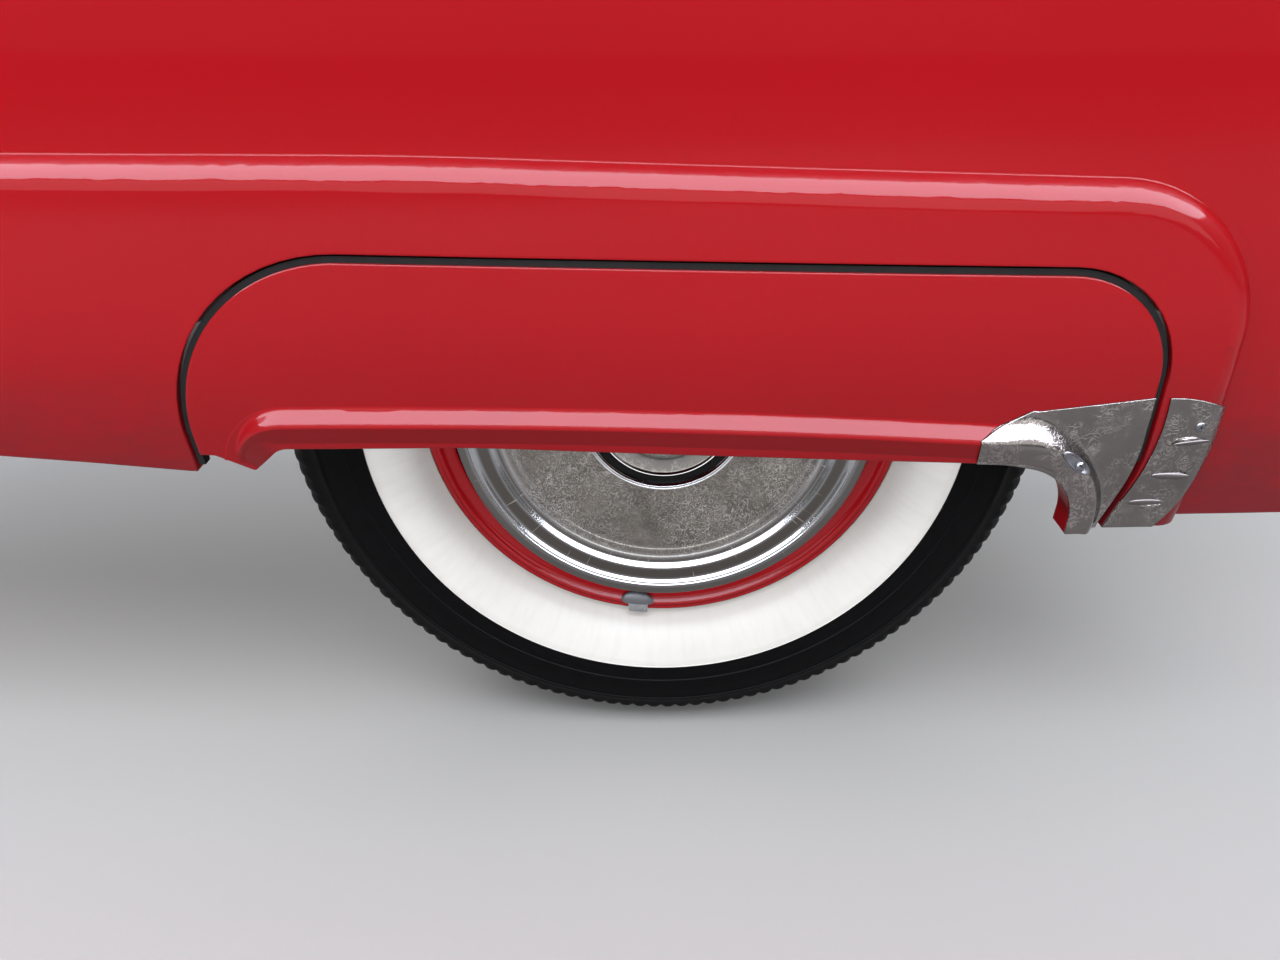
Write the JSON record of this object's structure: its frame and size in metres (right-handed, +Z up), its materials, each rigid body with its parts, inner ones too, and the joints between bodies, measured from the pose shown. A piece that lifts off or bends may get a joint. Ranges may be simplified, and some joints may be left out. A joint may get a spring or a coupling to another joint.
{
  "type": "rear quarter section of a car with wheel and fender skirt",
  "caption": "Right rear quarter of a 1950s convertible car: raised fender panel, removable skirt, bright gravel shields, whitewall wheel on its axle tube, leaf spring and frame rail.",
  "frame": {"origin": "centre of the axle tube's inner end, where the differential carrier takes it", "axes": "+X to the car's front, +Y inboard along the axle, +Z up"},
  "size_m": [2.014, 0.6992, 0.9223],
  "materials": {
    "body_paint": "gloss",
    "underbody_paint": "satin",
    "bright_steel": "polished, slightly dulled",
    "chrome_trim": "polished",
    "stainless_cover": "satin with fine scratches",
    "plated_steel": "satin",
    "lamp_red": "gloss",
    "chassis_black": "satin",
    "black_rubber": "matt",
    "spring_steel": "satin",
    "shock_grey": "satin",
    "drum_iron": "machined and dulled",
    "wheel_red": "gloss",
    "tyre_rubber": "matt, white sidewall",
    "lead_grey": "dull"
  },
  "bodies": {
    "quarter": {"quarter_panel": "body_paint", "door_striker": "plated_steel", "wheelhouse": "underbody_paint", "luggage_floor": "underbody_paint", "rocker": "underbody_paint", "quarter_gravel_shield": "bright_steel", "pivot_pins": "plated_steel", "tail_lamp_bezel": "chrome_trim", "tail_lamp_lens": "lamp_red", "frame_rail": "chassis_black", "body_mounts": "black_rubber", "main_leaf": "spring_steel", "spring_leaves": "spring_steel", "spring_bushes": "black_rubber", "spring_clips": "plated_steel", "front_hanger": "chassis_black", "rear_hanger": "chassis_black", "shackle": "chassis_black", "axle_tube": "chassis_black", "spring_plate": "chassis_black", "u_bolts": "plated_steel", "bump_stop": "black_rubber", "shock_absorber": "shock_grey", "shock_mounts": "plated_steel", "backing_plate": "chassis_black", "wheel_bearing": "plated_steel"},
    "skirt": {"skirt_panel": "body_paint", "skirt_frame": "underbody_paint", "skirt_gasket": "black_rubber", "skirt_gravel_shield": "bright_steel", "skirt_latch": "plated_steel", "skirt_brackets": "plated_steel"},
    "wheel": {"axle_shaft": "plated_steel", "brake_drum": "drum_iron", "wheel_disc": "wheel_red", "wheel_nuts": "plated_steel", "wheel_rim": "wheel_red", "tyre": "tyre_rubber", "wheel_cover": "stainless_cover", "cover_centre": "chrome_trim", "balance_weight": "lead_grey"}
  },
  "joints": [
    {"name": "wheel_spin", "type": "hinge", "parent": "quarter", "child": "wheel", "pos_m": [0, -0.533, 0], "axis": [0, 1, 0], "continuous": true},
    {"name": "skirt_tilt", "type": "hinge", "parent": "quarter", "child": "skirt", "pos_m": [0, -0.665, 0.01], "axis": [1, 0, 0], "range_deg": [0, 20]}
  ]
}
